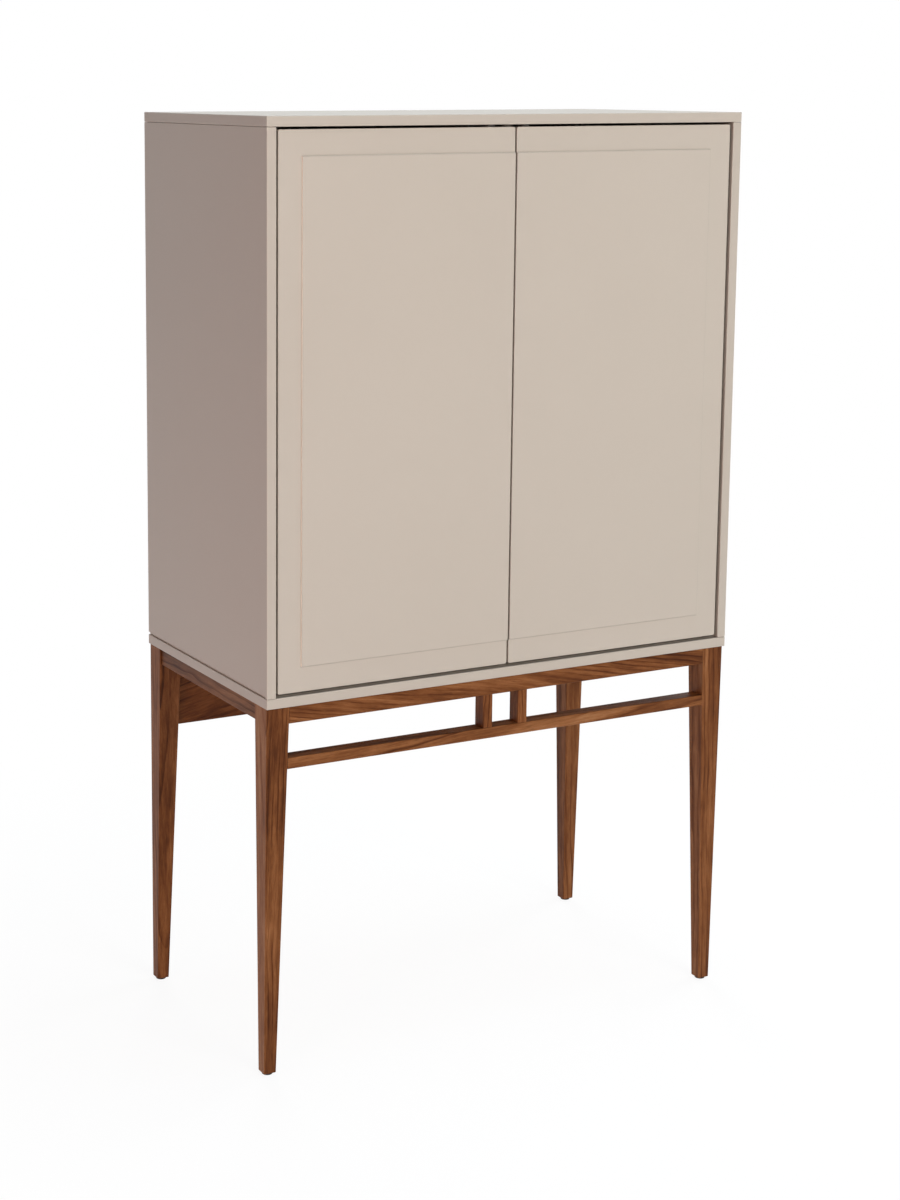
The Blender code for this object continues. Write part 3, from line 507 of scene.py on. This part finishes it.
def round_edges(shape, radius, segments=3, angle=30, chosen=None):
    """Rounds every edge that turns by more than the angle, or only those that are chosen."""
    sharp = [edge for edge in shape.edges
             if edge.calc_face_angle(0.0) > radians(angle) and (chosen is None or chosen(edge))]
    bmesh.ops.bevel(shape, geom=sharp, offset=radius, segments=segments, profile=0.5, affect="EDGES",
                    material=-1)
    return shape


def deeper_than(depth):
    """Picks the edges that run from front to back for more than a depth."""
    return lambda edge: abs(edge.verts[0].co.y - edge.verts[1].co.y) > depth


def mesh_object(name, shape):
    mesh = bpy.data.meshes.new(name)
    shape.to_mesh(mesh)
    shape.free()
    made = bpy.data.objects.new(name, mesh)
    bpy.context.scene.collection.objects.link(made)
    return made


def carve(shape, operation, *tools):
    """Cuts the tools out of a shape, or joins them to it."""
    target = mesh_object("carved", shape)
    helpers = [mesh_object("carving_tool", tool) for tool in tools]
    for helper in helpers:
        step = target.modifiers.new("carve", "BOOLEAN")
        step.operation = operation
        step.solver = "EXACT"
        step.object = helper
    made = bmesh.new()
    made.from_object(target, bpy.context.evaluated_depsgraph_get())
    for used in (target, *helpers):
        mesh = used.data
        bpy.data.objects.remove(used)
        bpy.data.meshes.remove(mesh)
    return made


def joined(shape, *others):
    """Adds other closed shapes to a shape."""
    for other in others:
        mesh = bpy.data.meshes.new("joining")
        other.to_mesh(mesh)
        other.free()
        shape.from_mesh(mesh)
        bpy.data.meshes.remove(mesh)
    return shape


def add_piece(name, shape, finish, slot, body, *nodes):
    """Makes the shape a shaded piece that rides on its body and stands for its CAD nodes."""
    bmesh.ops.recalc_face_normals(shape, faces=shape.faces)
    piece = mesh_object(name, shape)
    piece.data.shade_smooth()
    piece.data.set_sharp_from_angle(angle=radians(42))
    piece.data.materials.append(finish)
    even = piece.modifiers.new("even_shading", "WEIGHTED_NORMAL")
    even.keep_sharp = True
    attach(piece, body)
    if nodes:
        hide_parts(*nodes)


def refine(name, finish, radius=0.0):
    """Keeps a CAD node, gives it its material and breaks its edges."""
    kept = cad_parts[name]
    kept.data.materials.clear()
    kept.data.materials.append(finish)
    weld = kept.modifiers.new("merged", "WELD")
    weld.merge_threshold = 0.00001
    if radius:
        edges = kept.modifiers.new("broken_edges", "BEVEL")
        edges.width = radius
        edges.segments = 2
        edges.limit_method = "ANGLE"
        edges.angle_limit = radians(40)
        edges.harden_normals = False


# Lacquered box

def lacquered_board(node_name, low=None, high=None):
    box_low, box_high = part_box(node_name)
    shape = round_edges(block(low or box_low, high or box_high), LACQUER_EDGE, 4)
    add_piece(f"{node_name}_lacquered", shape, CARCASS_LACQUER, "taupe_lacquer", "cabinet", node_name)


def upright_levels():
    """Foot and head of the boards that stand between the bottom and the top board."""
    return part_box("bottom_board")[1].z + SEAT_GAP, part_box("top_board")[0].z - SEAT_GAP


def side_panel(label, side):
    """Side of the box, with a dark groove along its foot that stops short of the front."""
    low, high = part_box(f"{label}_side_panel")
    low.z, high.z = upright_levels()
    panel = round_edges(block(low, high), LACQUER_EDGE, 4)
    outer = high.x if side > 0 else low.x
    span = sorted((outer - side * GROOVE_DEPTH, outer + side * CUT_OVERRUN))
    groove = block(Vector((span[0], low.y + GROOVE_STOP, low.z - CUT_OVERRUN)),
                   Vector((span[1], high.y + CUT_OVERRUN, low.z + GROOVE_HEIGHT)))
    add_piece(f"{label}_side_lacquered", carve(panel, "DIFFERENCE", groove), CARCASS_LACQUER, "taupe_lacquer",
              "cabinet", f"{label}_side_panel")


def divider():
    low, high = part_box("centre_divider")
    low.z, high.z = upright_levels()
    lacquered_board("centre_divider", low, high)


def door(label, side):
    """Door with a raised field: the border is milled back on the three outer sides."""
    low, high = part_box(f"{label}_door")
    front, border = low.y, low.y + FIELD_RISE
    slab = block(Vector((low.x, border, low.z)), high)
    round_edges(slab, DOOR_CORNER, 6, chosen=deeper_than(0.01))
    field_edge = (high.x if side > 0 else low.x) - side * BORDER_WIDTH
    field_foot, field_head = low.z + BORDER_WIDTH, high.z - BORDER_WIDTH
    for point, normal in (((field_edge, 0, 0), (1, 0, 0)), ((0, 0, field_foot), (0, 0, 1)),
                          ((0, 0, field_head), (0, 0, 1))):
        bmesh.ops.bisect_plane(slab, geom=slab.verts[:] + slab.edges[:] + slab.faces[:], plane_co=point,
                               plane_no=normal)
    field = []
    for face in slab.faces:
        middle = face.calc_center_median()
        if face.normal.y < -0.9 and side * (field_edge - middle.x) > 0 and field_foot < middle.z < field_head:
            field.append(face)
    raised = bmesh.ops.extrude_face_region(slab, geom=field)["geom"]
    bmesh.ops.translate(slab, verts=[item for item in raised if isinstance(item, bmesh.types.BMVert)],
                        vec=(0, front - border, 0))
    bmesh.ops.delete(slab, geom=[face for face in field if face.is_valid], context="FACES_KEEP_BOUNDARY")
    bmesh.ops.dissolve_limit(slab, angle_limit=radians(1), verts=slab.verts, edges=slab.edges)
    round_edges(slab, DOOR_EDGE, 3)
    bores = []
    for end in ENDS:
        cup_low, cup_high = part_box(f"{label}_{end}_hinge_cup")
        x, z = (cup_low.x + cup_high.x) / 2, (cup_low.z + cup_high.z) / 2
        bores.append(rod((x, cup_low.y - CUP_BORE_SPARE, z), (x, high.y + CUT_OVERRUN, z),
                         CUP_RADIUS + CUP_BORE_SPARE, 64))
    add_piece(f"{label}_door_lacquered", carve(slab, "DIFFERENCE", *bores), LACQUER, "taupe_lacquer",
              f"{label}_door", f"{label}_door")


# Walnut stand

def leg_rects(end, label, side):
    """Level rectangles at the foot and the top of a leg, each after its height."""
    low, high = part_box(f"{end}_{label}_leg")
    outer = high.x if side > 0 else low.x
    foot_x = sorted((outer, outer - side * FOOT))
    foot_front = low.y + FRONT_LEG_LEAN if end == "front" else high.y - FOOT
    return low.z, (*foot_x, foot_front, foot_front + FOOT), high.z, (low.x, high.x, low.y, high.y)


def leg_face(end, label, side, z, which):
    """A face of a leg at a height: which is 0 to 3 for low x, high x, low y and high y."""
    z0, rect0, z1, rect1 = leg_rects(end, label, side)
    share = (z - z0) / (z1 - z0)
    return rect0[which] + share * (rect1[which] - rect0[which])


def wooden(name, shape, along, pith, foot=None, **figure):
    """Rounds the long edges, and those of a foot at that height; the ends that butt stay crisp."""
    axis = "xyz".index(along)

    def worn(edge):
        run = edge.verts[1].co - edge.verts[0].co
        at_foot = foot is not None and max(vert.co.z for vert in edge.verts) <= foot
        return abs(run[axis]) > run.length / 2 or at_foot

    round_edges(shape, WOOD_EDGE, 3, chosen=worn)
    corners = [vert.co for vert in shape.verts]
    low = Vector([min(co[axis] for co in corners) for axis in range(3)])
    high = Vector([max(co[axis] for co in corners) for axis in range(3)])
    finish = walnut(f"walnut_{name}", low, high, along, pith, **figure)
    add_piece(f"{name}_walnut", shape, finish, "walnut", "cabinet", name)


def legs():
    """Four tapered legs, each cut from its own place in a tree."""
    figures = {
        # left is painted light on the faces that point left; on the rear right leg it is negative, painted
        # shade
        ("front", "left"): dict(pith=(0.052, 0.022), tilt=(0.8, -1.6), ring=0.0085, warmth=0.55, light=-0.15,
                                left=1.37, start=0.3),
        ("front", "right"): dict(pith=(-0.034, 0.040), tilt=(-1.0, 2.2), ring=0.0080, warmth=0.6, left=0.60,
                                 start=3.9),
        ("rear", "left"): dict(pith=(0.020, 0.042), tilt=(1.8, 1.6), ring=0.0095, warmth=0.6, left=0.45,
                               start=2.1),
        ("rear", "right"): dict(pith=(-0.038, 0.034), tilt=(-0.8, 2.8), ring=0.0080, warmth=0.6, light=0.1,
                                left=-0.35, start=1.2),
    }
    for (end, label), figure in figures.items():
        rects = leg_rects(end, label, dict(SIDES)[label])
        wooden(f"{end}_{label}_leg", tapered(*rects), "z", foot=rects[0], **figure)


def cross_rail(name, end, y_span, z_span, pith, **figure):
    """Rail along x whose ends follow the sloping inner faces of two legs."""
    ends = []
    for z in z_span:
        x_span = (leg_face(end, "left", -1, z, 1) + SEAT_GAP, leg_face(end, "right", 1, z, 0) - SEAT_GAP)
        ends += [z, (*x_span, *y_span)]
    wooden(name, tapered(*ends), "x", pith, **figure)


def rails():
    """Aprons, stretcher and spindles between the legs."""
    under_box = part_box("front_left_leg")[1].z
    low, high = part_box("front_apron")
    cross_rail("front_apron", "front", (low.y, high.y), (low.z, under_box), (0.010, 0.030), tilt=(1.0, -11.0),
               ring=0.0075, wander=0.014, warmth=0.58, light=0.04, start=3.9)
    low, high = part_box("rear_apron")
    cross_rail("rear_apron", "rear", (low.y, high.y), (low.z, under_box), (0.05, 0.040), tilt=(2.0, 14.0),
               ring=0.0070, wander=0.010, warmth=0.85, light=-0.08, start=2.1)
    low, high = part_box("front_stretcher")
    # upper=-0.8 is painted shade on the stretcher's top face, under the box
    cross_rail("front_stretcher", "front", (low.y, high.y), (low.z, high.z), (0.030, 0.045), tilt=(-1.0, 3.5),
               ring=0.0115, wander=0.020, warmth=0.55, light=0.18, upper=-0.8, start=2.1)
    for label, side in SIDES:
        low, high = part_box(f"{label}_apron")
        ends = []
        for z in (low.z, under_box):
            y_span = (leg_face("front", label, side, z, 3) + SEAT_GAP,
                      leg_face("rear", label, side, z, 2) - SEAT_GAP)
            ends += [z, (low.x, high.x, *y_span)]
        wooden(f"{label}_apron", tapered(*ends), "y", (0.050 * side, 0.03), tilt=(2.0, -1.0), ring=0.0055,
               warmth=0.3, start=5.0 + side)
        low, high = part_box(f"{label}_spindle")
        low.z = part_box("front_stretcher")[1].z + SEAT_GAP
        high.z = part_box("front_apron")[0].z - SEAT_GAP
        wooden(f"{label}_spindle", block(low, high), "z", (0.012 * side, 0.017), tilt=(3.0, 5.0 * side),
               warmth=0.7, start=8.0 + side)


def glides():
    """Dark glides pressed into the feet."""
    for end in ("front", "rear"):
        for label, _ in SIDES:
            low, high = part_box(f"{end}_{label}_glide")
            x, y = (low.x + high.x) / 2, (low.y + high.y) / 2
            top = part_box(f"{end}_{label}_leg")[0].z - SEAT_GAP
            disc = round_edges(rod((x, y, 0), (x, y, top), (high.x - low.x) / 2, 40), GLIDE_EDGE, 3)
            stem = rod((x, y, top * 0.5), (x, y, high.z), GLIDE_STEM, 16)
            add_piece(f"{end}_{label}_glide_disc", joined(disc, stem), DARK_PLASTIC, "dark_plastic", "cabinet",
                      f"{end}_{label}_glide")


# Shelves and fittings

def pegs():
    """Nickelled shelf pins with a collar against the board and a rounded nose."""
    for run in ("left", "middle", "right"):
        for level in ENDS:
            for row in ("front", "back"):
                name = f"shelf_pin_{run}_{level}_{row}"
                low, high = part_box(name)
                y, z = (low.y + high.y) / 2, (low.z + high.z) / 2
                shape = round_edges(rod((low.x, y, z), (high.x, y, z), PEG_RADIUS, 24), PEG_EDGE, 3)
                for face, way in peg_faces(run):
                    collar = rod((face, y, z), (face + way * PEG_COLLAR_DEPTH, y, z), PEG_COLLAR, 32)
                    joined(shape, round_edges(collar, 0.0002, 2))
                add_piece(f"{name}_turned", shape, STEEL, "nickelled_steel", "cabinet", name)


def peg_faces(run):
    """Where a pin comes out of its board, with the way that it points."""
    if run == "left":
        return ((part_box("left_side_panel")[1].x + PEG_COLLAR_GAP, 1),)
    if run == "right":
        return ((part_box("right_side_panel")[0].x - PEG_COLLAR_GAP, -1),)
    low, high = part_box("centre_divider")
    return ((high.x + PEG_COLLAR_GAP, 1), (low.x - PEG_COLLAR_GAP, -1))


def screw_head(radius):
    """Cross-headed screw, its head rising from z = 0."""
    head = round_edges(rod((0, 0, -0.0004), (0, 0, 0.0009), radius, 32, radius * 0.86), 0.0002, 2)
    slots = []
    for turn in (45, 135):
        bar = block(Vector((-radius * 0.55, -0.00042, 0.0001)), Vector((radius * 0.55, 0.00042, 0.002)))
        bmesh.ops.rotate(bar, verts=bar.verts, matrix=Matrix.Rotation(radians(turn), 3, "Z"))
        slots.append(bar)
    return carve(head, "DIFFERENCE", *slots)


def screws(name, places, way, radius, body):
    """A set of screws whose heads point the same way, each turned a little further than the last."""
    template = bpy.data.meshes.new("screw")
    head = screw_head(radius)
    head.to_mesh(template)
    head.free()
    turn = Vector((0, 0, 1)).rotation_difference(Vector(way)).to_matrix().to_4x4()
    shape = bmesh.new()
    for number, place in enumerate(places):
        start = len(shape.verts)
        shape.from_mesh(template)
        shape.verts.ensure_lookup_table()
        spin = Matrix.Rotation(radians(37 * number + 11), 4, "Z")
        bmesh.ops.transform(shape, matrix=Matrix.Translation(Vector(place)) @ turn @ spin,
                            verts=shape.verts[start:])
    bpy.data.meshes.remove(template)
    add_piece(name, shape, STEEL, "nickelled_steel", body)


def hinge(label, side, end):
    """Cup and flange on the door, pin, bent arm and cross-shaped plate, with their screws."""
    name = f"{label}_{end}_hinge"
    hinge_cup(name, f"{label}_door")
    low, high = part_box(f"{name}_cup")
    x, z = (low.x + high.x) / 2, (low.z + high.z) / 2
    places = [(x, high.y, z + rise) for rise in (-CUP_SCREW_REACH, CUP_SCREW_REACH)]
    screws(f"{name}_cup_screws", places, (0, 1, 0), CUP_SCREW_RADIUS, f"{label}_door")
    low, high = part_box(f"{name}_pin")
    pin_x, pin_y = (low.x + high.x) / 2, (low.y + high.y) / 2
    pin = round_edges(rod((pin_x, pin_y, low.z), (pin_x, pin_y, high.z), PIN_RADIUS, 24), FITTING_EDGE, 3)
    add_piece(f"{name}_pin_turned", pin, STEEL, "nickelled_steel", f"{label}_door", f"{name}_pin")
    refine(f"{name}_arm", STEEL, FITTING_EDGE)
    refine(f"{name}_plate", ZINC, FITTING_EDGE)
    low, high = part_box(f"{name}_plate")
    middle = (low.y + high.y) / 2
    arm_face = (low.x if side > 0 else high.x) - side * ARM_FACE
    wing_face = (low.x + high.x) / 2
    places = [(wing_face, middle, z + rise) for rise in (-PLATE_SCREW_REACH, PLATE_SCREW_REACH)]
    screws(f"{name}_plate_screws", places, (-side, 0, 0), PLATE_SCREW_RADIUS, "cabinet")
    places = [(arm_face, low.y + reach, z) for reach in ARM_SCREWS]
    screws(f"{name}_arm_screws", places, (-side, 0, 0), ARM_SCREW_RADIUS, "cabinet")


def hinge_cup(name, body):
    """Cast cup with its flange and the slot that the arm dips into."""
    low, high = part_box(f"{name}_cup")
    x, z = (low.x + high.x) / 2, (low.z + high.z) / 2
    flange = block(Vector((x - FLANGE_HALF, high.y - FLANGE_THICKNESS, low.z)),
                   Vector((x + FLANGE_HALF, high.y, high.z)))
    round_edges(flange, FLANGE_CORNER, 6, chosen=deeper_than(0.0005))
    cup = rod((x, low.y, z), (x, high.y, z), CUP_RADIUS, 64)
    reach = (CUP_RADIUS ** 2 - SLOT_HALF ** 2) ** 0.5 - CUP_WALL
    slot = block(Vector((x - reach, low.y + CUP_FLOOR, z - SLOT_HALF)),
                 Vector((x + reach, high.y + CUT_OVERRUN, z + SLOT_HALF)))
    round_edges(slot, SLOT_CORNER, 4, chosen=deeper_than(0.005))
    shape = carve(carve(cup, "UNION", flange), "DIFFERENCE", slot)
    round_edges(shape, 0.0003, 2, 50)
    add_piece(f"{name}_cup_cast", shape, ZINC, "cast_zinc", body, f"{name}_cup")


def latch(label):
    """Push latch under the top board: housing, its screws, and the plunger with a soft tip."""
    name = f"{label}_latch_housing"
    refine(name, GREY_PLASTIC, 0.0003)
    low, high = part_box(name)
    x = (low.x + high.x) / 2
    places = [(x, low.y + LATCH_SCREW_FRONT, low.z), (x, high.y - LATCH_SCREW_BACK, low.z)]
    screws(f"{label}_latch_screws", places, (0, 0, -1), LATCH_SCREW_RADIUS, "cabinet")
    low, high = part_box(f"{label}_latch_plunger")
    z = (low.z + high.z) / 2
    radius = (high.z - low.z) / 2
    split = low.y + TIP_LENGTH
    rest = round_edges(rod((x, split, z), (x, high.y, z), radius, 32), 0.0003, 2)
    add_piece(f"{label}_plunger_rod", rest, PLUNGER_PLASTIC, "plunger_plastic", f"{label}_plunger",
              f"{label}_latch_plunger")
    tip = round_edges(rod((x, split, z), (x, low.y, z), radius * TIP_SHARE, 32), 0.0007, 4,
                      chosen=lambda edge: max(vert.co.y for vert in edge.verts) < split - 0.0005)
    add_piece(f"{label}_plunger_tip", tip, SOFT_TIP, "plunger_plastic", f"{label}_plunger")


# Floor, light and camera

def floor():
    """Pale matt floor that looks white away from the object and keeps its shadow."""
    shape = bmesh.new()
    bmesh.ops.create_grid(shape, x_segments=2, y_segments=2, size=30.0)
    ground = mesh_object("floor", shape)
    ground.location.z = -0.0002
    made, tree, shader = new_material("pale_floor")
    shader.inputs["Roughness"].default_value = 0.9
    shader.inputs["Specular IOR Level"].default_value = 0.1
    place = object_place(tree)
    away = vector_maths(tree, "LENGTH", place, output=1)
    seen = white_view(tree)
    plug(tree, shader.inputs["Base Color"],
         blended(tree, seen, (0.86, 0.83, 0.82, 1.0), (1.0, 1.0, 1.0, 1.0)))
    amount = maths(tree, "MULTIPLY", spread(tree, away, 0.55, 1.5, 0.9, 1.0), seen)
    white = node(tree, "ShaderNodeEmission", {"Color": (1.0, 1.0, 1.0, 1.0), "Strength": 1.0})
    mix = node(tree, "ShaderNodeMixShader", {0: amount, 1: shader.outputs[0], 2: white.outputs[0]})
    plug(tree, tree.nodes["Material Output"].inputs["Surface"], mix.outputs[0])
    ground.data.materials.append(made)


def surroundings():
    """White behind the object, and an even soft light on it."""
    world = bpy.data.worlds.new("studio")
    bpy.context.scene.world = world
    world.use_nodes = True
    tree = world.node_tree
    seen = white_view(tree)
    light = tree.nodes["Background"]
    light.inputs["Color"].default_value = (1.0, 0.90, 0.87, 1.0)
    light.inputs["Strength"].default_value = 0.12
    white = node(tree, "ShaderNodeBackground", {"Color": (1.0, 1.0, 1.0, 1.0), "Strength": 1.0})
    mix = node(tree, "ShaderNodeMixShader", {0: seen, 1: light.outputs[0], 2: white.outputs[0]})
    plug(tree, tree.nodes["World Output"].inputs["Surface"], mix.outputs[0])


def softbox(name, place, aim, width, height, power, colour=(1.0, 1.0, 1.0), mirrored=True, lights=True):
    """Rectangular lamp that may show in reflections, light the surfaces, or both."""
    lamp = bpy.data.lights.new(name, "AREA")
    lamp.shape = "RECTANGLE"
    lamp.size = width
    lamp.size_y = height
    lamp.energy = power
    lamp.color = colour
    made = bpy.data.objects.new(name, lamp)
    bpy.context.scene.collection.objects.link(made)
    made.location = place
    made.rotation_euler = (Vector(aim) - Vector(place)).to_track_quat("-Z", "Y").to_euler()
    made.visible_camera = False
    made.visible_glossy = mirrored
    made.visible_diffuse = lights


def lights():
    """Plain studio light, a little warm and red from the left and cool from above."""
    softbox("key", (1.0, -5.2, 3.3), (0.0, 0.0, 0.95), 2.6, 2.2, 136.0, (1.0, 1.0, 0.98), mirrored=False)
    softbox("front", (-0.6, -5.4, 2.6), (0.0, 0.0, 1.8), 2.4, 1.0, 75.0, (1.0, 1.0, 0.98), mirrored=False)
    softbox("gleam", (-3.3, -2.6, 1.6), (-0.3, -0.2, 1.1), 2.6, 1.4, 100.0, (1.0, 0.90, 0.82), lights=False)
    softbox("left_strip", (-2.6, -1.7, 1.5), (-0.4, -0.1, 1.0), 0.5, 1.8, 9.2, (1.0, 0.46, 0.41))
    softbox("low_left", (-1.9, -0.2, 0.35), (-0.43, 0.1, 0.35), 0.9, 0.6, 2.1, (1.0, 0.56, 0.46))
    softbox("overhead", (0.8, -0.3, 6.0), (0.2, 0.0, 0.0), 2.2, 4.0, 141.0, (0.69, 0.88, 1.0))
    softbox("right_fill", (4.4, 0.9, 2.2), (0.0, 0.0, 0.8), 2.4, 2.4, 95.0, mirrored=False)
    softbox("back_fill", (1.4, 4.8, 2.4), (0.0, 0.0, 0.8), 2.4, 2.4, 130.0, mirrored=False)


def camera():
    """Camera in front of the cabinet, to its left and a little above its top."""
    lens = bpy.data.cameras.new("camera")
    lens.lens = 65.909
    lens.sensor_width = 36.0
    lens.shift_x = 0.15
    lens.shift_y = -0.15
    made = bpy.data.objects.new("camera", lens)
    bpy.context.scene.collection.objects.link(made)
    made.location = (-1.8796, -3.13795, 1.55162)
    made.rotation_euler = (radians(90 - 8.79121), radians(-0.00314), radians(-26.48028))
    bpy.context.scene.camera = made


def cabinet():
    """All pieces: box, doors, shelves and fittings, then the stand."""
    for name in ("top_board", "bottom_board"):
        lacquered_board(name)
    divider()
    refine("back_panel", BACKING)
    for label, side in SIDES:
        side_panel(label, side)
        door(label, side)
        for end in ENDS:
            lacquered_board(f"{label}_{end}_shelf")
            hinge(label, side, end)
        latch(label)
    pegs()
    legs()
    rails()
    glides()


cabinet()
floor()
surroundings()
lights()
camera()
bpy.context.scene.view_settings.view_transform = "Standard"
